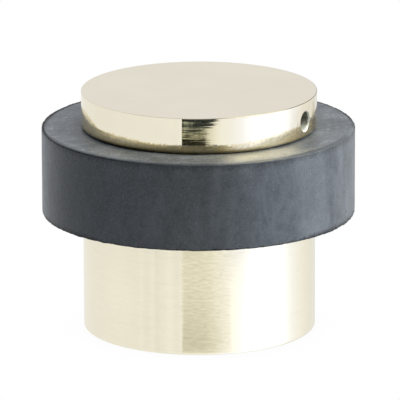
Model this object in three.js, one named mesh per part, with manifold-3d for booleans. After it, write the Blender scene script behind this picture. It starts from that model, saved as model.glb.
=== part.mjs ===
// Floor-mounted door stop: a turned brass base with an integral neck, a solid
// rubber buffer ring round the neck, and a brass cap that slips over the top of
// the neck and is locked by a grub screw in its rim. A pan-head floor screw and
// its washer stand in the neck's bore, under the cap.
// Millimetres, +Z up. Origin: centre of the underside, on the floor plane.

import * as THREE from 'three';
import { mergeVertices } from 'three/addons/utils/BufferGeometryUtils.js';
import Module from 'manifold-3d';

const { degToRad } = THREE.MathUtils;

// Facets round the large and the small diameters
const LARGE_SEGMENTS = 96;
const SMALL_SEGMENTS = 32;

// ------------------------------------------------- dimensions shared by pieces
const TOTAL_H = 35;              // floor to top of cap
const BASE_H = 17;               // floor to the shoulder under the ring
const WEB_TOP_Z = 4;             // floor of the bore in the neck
const NECK_R = 22 / 2;
const NECK_TOP_Z = 33.65;

const RING_Z0 = BASE_H + 0.06;
const RING_Z1 = RING_Z0 + 12.62;

const CAP_R = 34 / 2;
const CAP_Z0 = RING_Z1 + 0.08;

// Axis of the grub screw and its hole: radial, through the cap's rim
const GRUB_Z = 32.15;
const GRUB_AZIMUTH = degToRad(63.4);   // from -Y towards +X

// ------------------------------------------------------------ solid modelling
const manifold = await Module();
manifold.setup();

function signedVolume(position, indices) {
  const [a, b, c] = [new THREE.Vector3(), new THREE.Vector3(), new THREE.Vector3()];
  let volume = 0;
  for (let i = 0; i < indices.length; i += 3) {
    a.fromBufferAttribute(position, indices[i]);
    b.fromBufferAttribute(position, indices[i + 1]);
    c.fromBufferAttribute(position, indices[i + 2]);
    volume += a.dot(b.cross(c));
  }
  return volume;
}

// Keeps positions only, joins shared vertices, drops collapsed triangles and
// makes the faces point outwards. Manifold needs a closed mesh like this.
function weld(geometry) {
  const bare = new THREE.BufferGeometry();
  bare.setAttribute('position', geometry.attributes.position);
  bare.setIndex(geometry.index);
  const welded = mergeVertices(bare, 1e-4);

  const merged = welded.index.array;
  const kept = [];
  for (let i = 0; i < merged.length; i += 3) {
    const [a, b, c] = merged.slice(i, i + 3);
    if (a !== b && b !== c && c !== a) kept.push(a, b, c);
  }
  if (signedVolume(welded.attributes.position, kept) < 0) {
    for (let i = 0; i < kept.length; i += 3) {
      [kept[i + 1], kept[i + 2]] = [kept[i + 2], kept[i + 1]];
    }
  }
  welded.setIndex(kept);
  return welded;
}

// Turns a profile of [radius, z] points about the Z axis.
function turned(profile, segments) {
  const points = profile.map(([radius, z]) => new THREE.Vector2(radius, z));
  const geometry = new THREE.LatheGeometry(points, segments);
  geometry.rotateX(Math.PI / 2);
  return weld(geometry);
}

// The same with the profile closed on itself, for a piece with a through hole.
function turnedRing(profile, segments) {
  return turned([...profile, profile[0]], segments);
}

function toManifold(geometry) {
  return new manifold.Manifold(new manifold.Mesh({
    numProp: 3,
    vertProperties: new Float32Array(geometry.attributes.position.array),
    triVerts: new Uint32Array(geometry.index.array),
  }));
}

function fromManifold(solid) {
  const mesh = solid.getMesh();
  const positions = new Float32Array(mesh.vertProperties);
  const geometry = new THREE.BufferGeometry();
  geometry.setAttribute('position', new THREE.BufferAttribute(positions, 3));
  geometry.setIndex(Array.from(mesh.triVerts));
  return geometry;
}

function cut(blank, ...tools) {
  const solid = tools.reduce(
    (rest, tool) => rest.subtract(toManifold(weld(tool))), toManifold(blank));
  return fromManifold(solid);
}

// Lays a shape made along +Z on the grub axis, its z = 0 at `distance` from
// the stop's centre line and its +Z pointing outwards.
function placeOnGrubAxis(geometry, distance) {
  const outward = new THREE.Vector3(Math.sin(GRUB_AZIMUTH), -Math.cos(GRUB_AZIMUTH), 0);
  const up = new THREE.Vector3(0, 0, 1);
  geometry.applyQuaternion(new THREE.Quaternion().setFromUnitVectors(up, outward));
  geometry.translate(outward.x * distance, outward.y * distance, GRUB_Z);
  return geometry;
}

// ------------------------------------------------------------------ base body
function makeBaseBody() {
  const baseR = 33.5 / 2;
  const footRadius = 0.4;        // rounded bottom edge
  const footSteps = 4;
  const shoulderBreak = 0.25;
  const neckBreak = 0.5;
  const boreR = 11.2 / 2;        // takes the floor screw's head
  const boreBreak = 0.4;
  const screwHoleR = 5.5 / 2;    // clearance hole through the web
  const reliefR = 21 / 2;        // shallow relief under the base
  const reliefH = 0.6;
  const reliefBreak = 0.3;

  const foot = [];
  for (let i = 0; i <= footSteps; i++) {
    const angle = degToRad(-90 + 90 * i / footSteps);
    foot.push([
      baseR - footRadius + footRadius * Math.cos(angle),
      footRadius + footRadius * Math.sin(angle),
    ]);
  }

  return turnedRing([
    [screwHoleR, reliefH],
    [reliefR - reliefBreak, reliefH],
    [reliefR, reliefH - reliefBreak],
    [reliefR, 0],
    ...foot,
    [baseR, BASE_H - shoulderBreak],
    [baseR - shoulderBreak, BASE_H],
    [NECK_R, BASE_H],
    [NECK_R, NECK_TOP_Z - neckBreak],
    [NECK_R - neckBreak, NECK_TOP_Z],
    [boreR + boreBreak, NECK_TOP_Z],
    [boreR, NECK_TOP_Z - boreBreak],
    [boreR, WEB_TOP_Z],
    [screwHoleR, WEB_TOP_Z],
  ], LARGE_SEGMENTS);
}

// ---------------------------------------------------------------- rubber ring
function makeRubberRing() {
  const outerR = 45 / 2;
  const innerR = NECK_R + 0.15;
  const edge = 0.18;             // moulded edges are nearly sharp

  return turnedRing([
    [innerR + edge, RING_Z0],
    [outerR - edge, RING_Z0],
    [outerR, RING_Z0 + edge],
    [outerR, RING_Z1 - edge],
    [outerR - edge, RING_Z1],
    [innerR + edge, RING_Z1],
    [innerR, RING_Z1 - edge],
    [innerR, RING_Z0 + edge],
  ], LARGE_SEGMENTS);
}

// ------------------------------------------------------------------------ cap
function makeCap() {
  const boreR = NECK_R + 0.1;    // socket that slips over the neck
  const boreBreak = 0.3;         // at the socket's mouth and roof
  const roofZ = NECK_TOP_Z + 0.2;
  const footBreak = 0.3;
  const topBreak = 0.15;

  const blank = turned([
    [0, roofZ],
    [boreR - boreBreak, roofZ],
    [boreR, roofZ - boreBreak],
    [boreR, CAP_Z0 + boreBreak],
    [boreR + boreBreak, CAP_Z0],
    [CAP_R - footBreak, CAP_Z0],
    [CAP_R, CAP_Z0 + footBreak],
    [CAP_R, TOTAL_H - topBreak],
    [CAP_R - topBreak, TOTAL_H],
    [0, TOTAL_H],
  ], LARGE_SEGMENTS);
  return cut(blank, placeOnGrubAxis(makeRimHoleTool(), 0));
}

// Cutter for the rim hole; its z is the distance from the stop's centre line.
function makeRimHoleTool() {
  const holeR = 1.5;
  const lipR = 1.72;             // deburred mouth
  const lipDepth = 0.22;
  const innerEnd = 9;            // inside the cap's socket
  const flare = 0.5;             // widening beyond the rim
  const outerEnd = CAP_R + 1.5;

  return turned([
    [0, innerEnd],
    [holeR, innerEnd],
    [holeR, CAP_R - lipDepth],
    [lipR, CAP_R],
    [lipR + flare, CAP_R + flare],
    [lipR + flare, outerEnd],
    [0, outerEnd],
  ], SMALL_SEGMENTS);
}

// ----------------------------------------------------------------- grub screw
function makeGrubScrew() {
  const radius = 1.4;
  const length = 3.6;
  const tipBreak = 0.45;
  const endBreak = 0.2;
  const tipGap = 0.12;           // between the tip and the neck
  const socketAcrossFlats = 1.5;
  const socketDepth = 1.6;
  const overcut = 1;             // socket cutter beyond the outer end

  const blank = turned([
    [0, 0],
    [radius - tipBreak, 0],
    [radius, tipBreak],
    [radius, length - endBreak],
    [radius - endBreak, length],
    [0, length],
  ], SMALL_SEGMENTS);

  const socketR = socketAcrossFlats / Math.sqrt(3);
  const cutterL = socketDepth + overcut;
  const socket = new THREE.CylinderGeometry(socketR, socketR, cutterL, 6);
  socket.rotateX(Math.PI / 2);
  socket.translate(0, 0, length - socketDepth + cutterL / 2);
  return placeOnGrubAxis(cut(blank, socket), NECK_R + tipGap);
}

// ---------------------------------------------------------------- floor screw
const SCREW_TIP_Z = 0.3;         // raised in the bore, not yet driven
const SCREW_ROOT_R = 2.05;       // thread root and plain shank

// Profile of the thread: a row of separate ridges, tapering to the point.
function threadProfile() {
  const crestR = 2.5;
  const pitch = 2;
  const threadL = 22;            // measured from the tip
  const taperL = 6;
  const taperPower = 0.8;
  const footFactor = 0.86;       // ridge's lower foot, as a part of the root radius

  const profile = [];
  for (let z = pitch; z <= threadL; z += pitch) {
    const taper = Math.pow(Math.min(1, z / taperL), taperPower);
    const root = SCREW_ROOT_R * taper;
    const crest = crestR * taper;
    const ridgeZ = SCREW_TIP_Z + z;
    profile.push(
      [root * footFactor, ridgeZ - 0.62 * pitch],
      [crest, ridgeZ - 0.10 * pitch],
      [crest, ridgeZ],
      [root, ridgeZ + 0.12 * pitch],
    );
  }
  return profile;
}

function makeFloorScrew() {
  const headZ = SCREW_TIP_Z + 30;   // underside of the head
  const headR = 9.6 / 2;
  const headH = 3;
  const fillet = 0.4;            // cone between shank and head
  const crossWidth = 1.15;
  const crossSpan = 5;
  const crossDepth = 1.7;

  // Side of the pan head: [inset from its widest radius, height above headZ]
  const headSide = [
    [0.15, 0], [0, 0.3], [0.1, 1.1], [0.9, 2.2], [2.2, headH - 0.12],
  ];

  const blank = turned([
    [0, SCREW_TIP_Z],
    ...threadProfile(),
    [SCREW_ROOT_R, headZ - fillet],
    [SCREW_ROOT_R + fillet, headZ],
    ...headSide.map(([inset, height]) => [headR - inset, headZ + height]),
    [0, headZ + headH],
  ], SMALL_SEGMENTS);

  // The cross recess: two boxes centred on the top of the head.
  const arms = [[crossSpan, crossWidth], [crossWidth, crossSpan]].map(([sizeX, sizeY]) =>
    new THREE.BoxGeometry(sizeX, sizeY, crossDepth * 2).translate(0, 0, headZ + headH));
  return cut(blank, ...arms);
}

// --------------------------------------------------------------- screw washer
function makeWasher() {
  const outerR = 10.2 / 2;
  const holeR = 5.5 / 2;
  const bottomBreak = 0.1;
  const topBreak = 0.15;
  const bottomZ = WEB_TOP_Z + 0.02;
  const topZ = bottomZ + 1;

  return turnedRing([
    [holeR, bottomZ],
    [outerR - bottomBreak, bottomZ],
    [outerR, bottomZ + bottomBreak],
    [outerR, topZ - topBreak],
    [outerR - topBreak, topZ],
    [holeR, topZ],
  ], SMALL_SEGMENTS);
}

// ------------------------------------------------------------------- assembly
const MATERIALS = {
  baseBrass: { color: 0xd9cfa8, roughness: 0.3, metalness: 1 },
  rubber: { color: 0x5a5f66, roughness: 0.75, metalness: 0 },
  capBrass: { color: 0xdcd2ae, roughness: 0.2, metalness: 1 },
  darkSteel: { color: 0x4a4a48, roughness: 0.45, metalness: 1 },
  screwSteel: { color: 0xb9b9b4, roughness: 0.35, metalness: 1 },
  washerSteel: { color: 0xb4b4b0, roughness: 0.4, metalness: 1 },
};

function makePiece(name, geometry, finish) {
  geometry.computeVertexNormals();
  const material = new THREE.MeshStandardMaterial({ ...finish, flatShading: true });
  const mesh = new THREE.Mesh(geometry, material);
  mesh.name = name;
  return mesh;
}

const doorStop = new THREE.Group();
doorStop.name = 'door_stop';
doorStop.add(
  makePiece('base_body', makeBaseBody(), MATERIALS.baseBrass),
  makePiece('rubber_ring', makeRubberRing(), MATERIALS.rubber),
  makePiece('cap', makeCap(), MATERIALS.capBrass),
  makePiece('cap_grub_screw', makeGrubScrew(), MATERIALS.darkSteel),
  makePiece('floor_screw', makeFloorScrew(), MATERIALS.screwSteel),
  makePiece('screw_washer', makeWasher(), MATERIALS.washerSteel),
);

export default doorStop;
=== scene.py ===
# Door stop: turned brass base, rubber buffer ring, brass cap with its grub
# screw, and the floor screw and washer in the hollow. Metres, +Z up.
import math

import bmesh
import bpy
import numpy as np
from mathutils import Matrix, Vector


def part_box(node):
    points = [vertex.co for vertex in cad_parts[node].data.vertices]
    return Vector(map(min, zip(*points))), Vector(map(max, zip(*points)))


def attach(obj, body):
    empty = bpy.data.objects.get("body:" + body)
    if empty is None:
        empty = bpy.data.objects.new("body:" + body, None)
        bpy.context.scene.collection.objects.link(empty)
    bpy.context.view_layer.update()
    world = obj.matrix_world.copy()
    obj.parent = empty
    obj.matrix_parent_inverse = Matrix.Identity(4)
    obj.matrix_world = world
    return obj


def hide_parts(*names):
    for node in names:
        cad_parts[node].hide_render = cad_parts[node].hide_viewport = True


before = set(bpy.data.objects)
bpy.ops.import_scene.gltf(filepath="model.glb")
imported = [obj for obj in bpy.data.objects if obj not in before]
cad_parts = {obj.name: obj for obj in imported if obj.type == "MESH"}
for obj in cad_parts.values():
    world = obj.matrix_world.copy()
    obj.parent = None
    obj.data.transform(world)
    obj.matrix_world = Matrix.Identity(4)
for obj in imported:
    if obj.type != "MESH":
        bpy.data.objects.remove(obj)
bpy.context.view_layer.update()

MM = 0.001
rng = np.random.default_rng(20261116)

# ------------------------------------------------------------------ frame sizes
base_lo, base_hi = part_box("base_body")
ring_lo, ring_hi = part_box("rubber_ring")
cap_lo, cap_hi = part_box("cap")
screw_lo, screw_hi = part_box("floor_screw")
wash_lo, wash_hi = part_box("screw_washer")
BASE_R = base_hi.x / MM
RING_R = ring_hi.x / MM
CAP_R = cap_hi.x / MM
RING_Z0, RING_Z1 = ring_lo.z / MM, ring_hi.z / MM
CAP_Z0, CAP_Z1 = cap_lo.z / MM, cap_hi.z / MM
NECK_TOP = base_hi.z / MM
SCREW_Z0, SCREW_Z1 = screw_lo.z / MM, screw_hi.z / MM
WASH_R, WASH_Z0, WASH_Z1 = wash_hi.x / MM, wash_lo.z / MM, wash_hi.z / MM

SHOULDER = 17.0
NECK_R = 11.0
BORE_R = 5.6
HOLE_R = 2.75
WEB = 4.0
RING_BORE = 11.15
CAP_BORE = 11.1
CAP_ROOF = 33.85
GRUB_AZ = math.radians(63.4)
GRUB_Z = 32.21
PITCH = 0.5


# ------------------------------------------------------------------ mesh makers
def fillet(points, closed=False, support=0.02):
    """Points are (r, z) or (r, z, radius). Returns the profile with its corners rounded, each arc held by a
    support point on both sides, so that flat faces stay flat when the mesh is shaded smooth."""
    n = len(points)
    out = []
    for i, p in enumerate(points):
        rad = p[2] if len(p) > 2 else 0.0
        P = np.array(p[:2], float)
        if rad <= 0 or (not closed and i in (0, n - 1)):
            out.append(tuple(P))
            continue
        A = np.array(points[i - 1][:2], float)
        B = np.array(points[(i + 1) % n][:2], float)
        a, b = A - P, B - P
        la, lb = np.linalg.norm(a), np.linalg.norm(b)
        a, b = a / la, b / lb
        ang = math.acos(max(-1.0, min(1.0, float(a @ b))))
        t = rad / math.tan(ang / 2)
        t = min(t, la * 0.49, lb * 0.49)
        rad = t * math.tan(ang / 2)
        centre = P + (a + b) / np.linalg.norm(a + b) * (rad / math.sin(ang / 2))
        s, e = P + a * t, P + b * t
        sup = min(support, (la - t) * 0.4, (lb - t) * 0.4)
        out.append(tuple(s + a * sup))
        v0, v1 = s - centre, e - centre
        a0, a1 = math.atan2(v0[1], v0[0]), math.atan2(v1[1], v1[0])
        d = (a1 - a0 + math.pi) % (2 * math.pi) - math.pi
        k = max(3, int(round(abs(d) / math.radians(15))))
        for j in range(k + 1):
            w = a0 + d * j / k
            out.append((centre[0] + rad * math.cos(w), centre[1] + rad * math.sin(w)))
        out.append(tuple(e + b * sup))
    return out


def densify(profile, step, closed=False):
    """Extra points so that no span of the profile is longer than step."""
    out = []
    n = len(profile)
    for i in range(n if closed else n - 1):
        a, b = np.array(profile[i]), np.array(profile[(i + 1) % n])
        k = max(1, int(math.ceil(np.linalg.norm(b - a) / step)))
        for j in range(k):
            out.append(tuple(a + (b - a) * j / k))
    if not closed:
        out.append(tuple(profile[-1]))
    return out


def rings_mesh(name, rings, closed=False, pole_start=None, pole_end=None):
    """rings: array (m, n, 3) in mm. Joins each ring to the next; closed joins the last to the first; poles cap the ends."""
    R = np.asarray(rings, float) * MM
    m, n, _ = R.shape
    verts = R.reshape(-1, 3)
    faces = []
    idx = np.arange(m * n).reshape(m, n)
    nxt = np.roll(idx, -1, axis=1)
    for i in range(m if closed else m - 1):
        k = (i + 1) % m
        faces += np.stack([idx[i], nxt[i], nxt[k], idx[k]], 1).tolist()
    verts = verts.tolist()
    if pole_start is not None:
        verts.append([c * MM for c in pole_start])
        p = len(verts) - 1
        faces += [[p, int(b), int(a)] for a, b in zip(idx[0], nxt[0])]
    if pole_end is not None:
        verts.append([c * MM for c in pole_end])
        p = len(verts) - 1
        faces += [[p, int(a), int(b)] for a, b in zip(idx[-1], nxt[-1])]
    me = bpy.data.meshes.new(name)
    me.from_pydata(verts, [], faces)
    me.update()
    bm = bmesh.new()
    bm.from_mesh(me)
    if bm.calc_volume(signed=True) < 0:
        bmesh.ops.reverse_faces(bm, faces=bm.faces)
    bm.to_mesh(me)
    bm.free()
    me.shade_smooth()
    ob = bpy.data.objects.new(name, me)
    bpy.context.scene.collection.objects.link(ob)
    return ob


def lathe_rings(profile, seg, phase=0.0):
    th = np.linspace(0, 2 * np.pi, seg, endpoint=False) + phase
    P = np.array(profile, float)
    return np.stack([P[:, :1] * np.sin(th), -P[:, :1] * np.cos(th), np.repeat(P[:, 1:2], seg, 1)], -1), th


def lathe(name, profile, seg, closed):
    """closed: the profile is a loop clear of the axis. Otherwise it starts and ends on the axis."""
    if closed:
        R, _ = lathe_rings(profile, seg)
        return rings_mesh(name, R, closed=True)
    R, _ = lathe_rings(profile[1:-1], seg)
    return rings_mesh(name, R, pole_start=(0, 0, profile[0][1]), pole_end=(0, 0, profile[-1][1]))


# --------------------------------------------------------------- smooth noise
def value_noise(*coords, seed=0):
    """Smooth noise in -1..1 on a hashed lattice, for 1 to 3 coordinates."""
    cs = [np.asarray(c, float) for c in np.broadcast_arrays(*coords)]
    base = [np.floor(c).astype(np.int64) for c in cs]
    frac = [c - b for c, b in zip(cs, base)]
    frac = [f * f * f * (f * (f * 6 - 15) + 10) for f in frac]
    out = 0
    for corner in range(1 << len(cs)):
        w = 1.0
        h = np.full(cs[0].shape, seed * 374761393 + 668265263, np.int64)
        for i in range(len(cs)):
            bit = (corner >> i) & 1
            w = w * (frac[i] if bit else 1 - frac[i])
            h = h ^ ((base[i] + bit) * (73856093, 19349663, 83492791)[i])
            h = (h * 1274126177 + 12345) & 0x7FFFFFFF
            h = h ^ (h >> 13)
        h = (h * 1103515245 + 12345) & 0x7FFFFFFF
        out = out + w * ((h & 0xFFFF) / 32767.5 - 1)
    return out


def fbm(*coords, octaves=4, seed=0, gain=0.5):
    total, amp, norm = 0, 1.0, 0.0
    for o in range(octaves):
        total = total + amp * value_noise(*[np.asarray(c, float) * 2 ** o for c in coords], seed=seed + o * 17)
        norm += amp
        amp *= gain
    return total / norm


# ------------------------------------------------------------------- node help
class Nodes:
    def __init__(self, tree):
        self.t = tree
        self.t.nodes.clear()

    def new(self, kind, **props):
        n = self.t.nodes.new(kind)
        for k, v in props.items():
            setattr(n, k, v)
        return n

    def put(self, socket, value):
        if isinstance(value, bpy.types.NodeSocket):
            self.t.links.new(value, socket)
        elif value is not None:
            if isinstance(value, (tuple, list)) and len(value) == 3 and socket.type == "RGBA":
                value = (*value, 1.0)
            socket.default_value = value

    def m(self, op, a, b=None, c=None, clamp=False):
        n = self.new("ShaderNodeMath", operation=op, use_clamp=clamp)
        for i, v in enumerate((a, b, c)):
            if v is not None:
                self.put(n.inputs[i], v)
        return n.outputs[0]

    def v(self, op, a, b=None, scale=None):
        n = self.new("ShaderNodeVectorMath", operation=op)
        self.put(n.inputs[0], a)
        if b is not None:
            self.put(n.inputs[1], b)
        if scale is not None:
            self.put(n.inputs["Scale"], scale)
        return n.outputs["Value"] if op in ("LENGTH", "DOT_PRODUCT", "DISTANCE") else n.outputs[0]

    def xyz(self, x=0.0, y=0.0, z=0.0):
        n = self.new("ShaderNodeCombineXYZ")
        for i, v in enumerate((x, y, z)):
            self.put(n.inputs[i], v)
        return n.outputs[0]

    def sep(self, vec):
        n = self.new("ShaderNodeSeparateXYZ")
        self.put(n.inputs[0], vec)
        return n.outputs[0], n.outputs[1], n.outputs[2]

    def noise(self, vec, scale=1.0, detail=3.0, rough=0.5, distort=0.0):
        n = self.new("ShaderNodeTexNoise", noise_dimensions="3D")
        self.put(n.inputs["Vector"], vec)
        self.put(n.inputs["Scale"], scale)
        self.put(n.inputs["Detail"], detail)
        self.put(n.inputs["Roughness"], rough)
        self.put(n.inputs["Distortion"], distort)
        return n.outputs["Fac"]

    def voronoi(self, vec, scale=1.0, feature="F1", rand=1.0):
        n = self.new("ShaderNodeTexVoronoi", voronoi_dimensions="3D", feature=feature)
        self.put(n.inputs["Vector"], vec)
        self.put(n.inputs["Scale"], scale)
        self.put(n.inputs["Randomness"], rand)
        return n.outputs["Distance"]

    def ss(self, value, lo, hi, a=0.0, b=1.0):
        """Smooth step of value from lo to hi, giving a to b."""
        n = self.new("ShaderNodeMapRange", interpolation_type="SMOOTHSTEP", clamp=True)
        for k, x in zip(("Value", "From Min", "From Max", "To Min", "To Max"), (value, lo, hi, a, b)):
            self.put(n.inputs[k], x)
        return n.outputs["Result"]

    def lin(self, value, lo, hi, a=0.0, b=1.0):
        n = self.new("ShaderNodeMapRange", interpolation_type="LINEAR", clamp=True)
        for k, x in zip(("Value", "From Min", "From Max", "To Min", "To Max"), (value, lo, hi, a, b)):
            self.put(n.inputs[k], x)
        return n.outputs["Result"]

    def mix(self, fac, a, b):
        n = self.new("ShaderNodeMix", data_type="RGBA", blend_type="MIX", clamp_factor=True)
        self.put(n.inputs[0], fac)
        self.put(n.inputs[6], a)
        self.put(n.inputs[7], b)
        return n.outputs[2]

    def mul(self, fac, a, b):
        n = self.new("ShaderNodeMix", data_type="RGBA", blend_type="MULTIPLY", clamp_factor=True)
        self.put(n.inputs[0], fac)
        self.put(n.inputs[6], a)
        self.put(n.inputs[7], b)
        return n.outputs[2]

    def bump(self, height, strength, distance, normal=None):
        n = self.new("ShaderNodeBump")
        self.put(n.inputs["Strength"], strength)
        self.put(n.inputs["Distance"], distance)
        self.put(n.inputs["Height"], height)
        if normal is not None:
            self.put(n.inputs["Normal"], normal)
        return n.outputs["Normal"]


def srgb(r, g, b):
    return tuple(((c / 255 / 12.92) if c / 255 <= 0.04045 else ((c / 255 + 0.055) / 1.055) ** 2.4) for c in (r, g, b))


def material(name):
    mat = bpy.data.materials.new(name)
    mat.use_nodes = True
    return mat, Nodes(mat.node_tree)


def principled(N, **inputs):
    p = N.new("ShaderNodeBsdfPrincipled")
    for k, v in inputs.items():
        N.put(p.inputs[k.replace("_", " ")], v)
    out = N.new("ShaderNodeOutputMaterial")
    N.t.links.new(p.outputs[0], out.inputs["Surface"])
    return p


def tilt_normal(N, amount_z, extra=None):
    """The shading normal leaned along Z by amount_z (a slope), and along another vector if given."""
    geo = N.new("ShaderNodeNewGeometry")
    lean = N.xyz(0.0, 0.0, amount_z)
    n = N.v("ADD", geo.outputs["Normal"], lean)
    if extra is not None:
        n = N.v("ADD", n, extra)
    return N.v("NORMALIZE", n)


BRASS_BASE = (0.925, 0.875, 0.705)


# ------------------------------------------------------------------- materials
def brass(name, kind):
    """Pale polished or satin brass with lathe marks. kind: cap or base."""
    mat, N = material(name)
    tc = N.new("ShaderNodeTexCoord")
    P = N.v("SCALE", tc.outputs["Object"], scale=1000.0)      # millimetres
    x, y, z = N.sep(P)
    r = N.m("SQRT", N.m("ADD", N.m("MULTIPLY", x, x), N.m("MULTIPLY", y, y)))
    geo = N.new("ShaderNodeNewGeometry")
    nx, ny, nz = N.sep(geo.outputs["Normal"])
    wall = N.ss(N.m("ABSOLUTE", nz), 0.85, 0.35)              # 1 on the turned walls, 0 on the flats
    # lathe marks: rings in z on the walls, rings in r on the faces
    walls_v = N.xyz(N.m("MULTIPLY", x, 0.10), N.m("MULTIPLY", y, 0.10), N.m("MULTIPLY", z, 2.6))
    walls_f = N.xyz(N.m("MULTIPLY", x, 0.30), N.m("MULTIPLY", y, 0.30), N.m("MULTIPLY", z, 8.0))
    lines = N.noise(walls_v, 1.0, 3.0, 0.65)
    fine = N.noise(walls_f, 1.0, 2.0, 0.6)
    face_v = N.xyz(N.m("MULTIPLY", r, 7.0), N.m("MULTIPLY", x, 0.06), N.m("MULTIPLY", y, 0.06))
    face_lines = N.noise(face_v, 1.0, 3.0, 0.6)
    cloud = N.noise(P, 0.18, 3.0, 0.55)
    stain = N.noise(P, 0.9, 4.0, 0.6)
    if kind == "base":
        k_line, k_fine, rough, aniso = 0.030, 0.20, 0.205, 1.0
    else:
        k_line, k_fine, rough, aniso = 0.050, 0.045, 0.045, 0.6
    dz = N.m("ADD", N.m("MULTIPLY", N.m("SUBTRACT", lines, 0.5), k_line),
             N.m("MULTIPLY", N.m("SUBTRACT", fine, 0.5), k_fine))
    if kind == "cap":
        # the rim's foot is rolled over a little by handling, unevenly
        bite = N.noise(P, 2.4, 4.0, 0.7)
        foot = N.ss(N.m("ADD", z, N.m("MULTIPLY", N.m("SUBTRACT", bite, 0.5), 0.5)), CAP_Z0 + 1.9, CAP_Z0 + 1.25)
        dz = N.m("ADD", dz, N.m("MULTIPLY", foot, N.m("ADD", 0.006, N.m("MULTIPLY", N.m("SUBTRACT", bite, 0.5), 0.06))))
    if kind == "cap":
        right = N.m("MULTIPLY", N.m("MULTIPLY", N.ss(x, 3.2, 5.6), N.ss(x, 10.2, 7.2)), N.ss(y, -4.0, -10.0))
        dz = N.m("ADD", dz, N.m("MULTIPLY", N.m("MULTIPLY", right, N.ss(z, CAP_Z0 + 1.80, CAP_Z0 + 1.42)), 0.050))
        dz = N.m("ADD", dz, N.m("MULTIPLY", N.m("MULTIPLY", N.ss(x, -1.0, -9.0), N.ss(y, 4.0, -2.0)), 0.029))
    dz = N.m("MULTIPLY", dz, wall)
    # on the faces the marks lean the normal along the radius
    inv_r = N.m("DIVIDE", 1.0, N.m("MAXIMUM", r, 0.5))
    fr = N.m("MULTIPLY", N.m("SUBTRACT", face_lines, 0.5), N.m("MULTIPLY", N.m("SUBTRACT", 1.0, wall), 0.010))
    radial = N.v("SCALE", N.xyz(x, y, 0.0), scale=N.m("MULTIPLY", inv_r, fr))
    nrm = tilt_normal(N, dz, radial)
    tone = 1.045 if kind == "base" else 1.0
    col = N.mix(N.lin(cloud, 0.3, 0.7), tuple(c * 0.985 * tone for c in BRASS_BASE), tuple(min(1, c * 1.012 * tone) for c in BRASS_BASE))
    if kind == "base":
        # fine turning lines: faint darker and paler rings, strongest where the finish is least even
        col = N.mul(N.lin(lines, 0.46, 0.68, 0.0, 0.07), col, (0.84, 0.81, 0.72))
        col = N.mul(N.lin(fine, 0.50, 0.70, 0.0, 0.10), col, (0.86, 0.84, 0.76))
        # short wavy tool marks, faint all round; in the front strip facing the lens they are strong and the tone is a
        # little lighter, a painted reflection of the dark lens side
        marks = N.noise(N.xyz(N.m("MULTIPLY", x, 0.85), N.m("MULTIPLY", y, 0.30), N.m("MULTIPLY", z, 3.6)), 1.0, 3.0, 0.62, 0.5)
        faces = N.m("ADD", 0.16, N.m("MULTIPLY", N.m("MULTIPLY", N.ss(x, -2.62, -2.50), N.ss(x, 6.5, 1.5)), N.m("MULTIPLY", N.m("MULTIPLY", N.ss(y, -8.0, -12.0), N.ss(z, 0.10, 0.55)), 0.84)))
        marks = N.m("MULTIPLY", N.m("MULTIPLY", faces, wall), N.lin(marks, 0.34, 0.66))
        col = N.mul(N.m("MULTIPLY", marks, 0.62), col, (0.79, 0.785, 0.72))
        col = N.v("SCALE", col, scale=N.m("ADD", 1.0, N.m("MULTIPLY", N.m("MULTIPLY", faces, wall), 0.055)))
        rgh = N.m("ADD", rough, N.m("MULTIPLY", N.m("SUBTRACT", stain, 0.5), 0.03))
    else:
        # brown strip along the foot of the rim, where the ring sits against it: partly tarnish, mostly a painted
        # reflection of the ring's dark top, its height and tone shaped to that reflection, lighter where the side is
        # lit
        rag = N.noise(P, 1.5, 5.0, 0.72)
        side = N.m("MULTIPLY", N.ss(N.m("ABSOLUTE", x), 5.0, 14.0), N.ss(y, 4.0, -4.0))
        tarnish_and_reflection_top = N.m("ADD", CAP_Z0 + 1.18, N.m("MULTIPLY", side, N.ss(x, -6.0, 6.0, 0.42, 0.80)))
        tarnish_and_reflection_top = N.m("ADD", tarnish_and_reflection_top, N.m("MULTIPLY", N.m("MULTIPLY", N.ss(x, -13.8, -16.9), N.ss(y, 5.0, 0.0)), 1.7))
        fine_rag = N.noise(P, 5.5, 3.0, 0.7)
        z_rag = N.m("ADD", z, N.m("ADD", N.m("MULTIPLY", N.m("SUBTRACT", rag, 0.5), 0.8), N.m("MULTIPLY", N.m("SUBTRACT", fine_rag, 0.5), 0.9)))
        tarnish_and_reflection = N.ss(z_rag, N.m("ADD", tarnish_and_reflection_top, 0.22), N.m("SUBTRACT", tarnish_and_reflection_top, 0.16))
        tarnish_and_reflection = N.m("MULTIPLY", tarnish_and_reflection, wall)
        # painted reflection: a yellow tint along the ragged top edge of the brown strip
        reflection_edge_tint = N.m("MULTIPLY", wall, N.ss(N.m("ABSOLUTE", N.m("SUBTRACT", z_rag, tarnish_and_reflection_top)), 0.32, 0.04))
        col = N.mul(N.m("MULTIPLY", reflection_edge_tint, 0.45), col, (0.93, 0.82, 0.56))
        tarnish_and_reflection_tint = N.mix(N.lin(N.noise(P, 0.55, 3.0, 0.6), 0.36, 0.62), (0.90, 0.79, 0.56), (0.80, 0.77, 0.64))
        lit_side = N.m("MULTIPLY", N.ss(x, 3.5, 6.0), N.ss(x, 13.5, 10.5))
        col = N.mul(N.m("MULTIPLY", tarnish_and_reflection, N.m("SUBTRACT", 0.92, N.m("MULTIPLY", lit_side, 0.60))), col, tarnish_and_reflection_tint)
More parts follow.
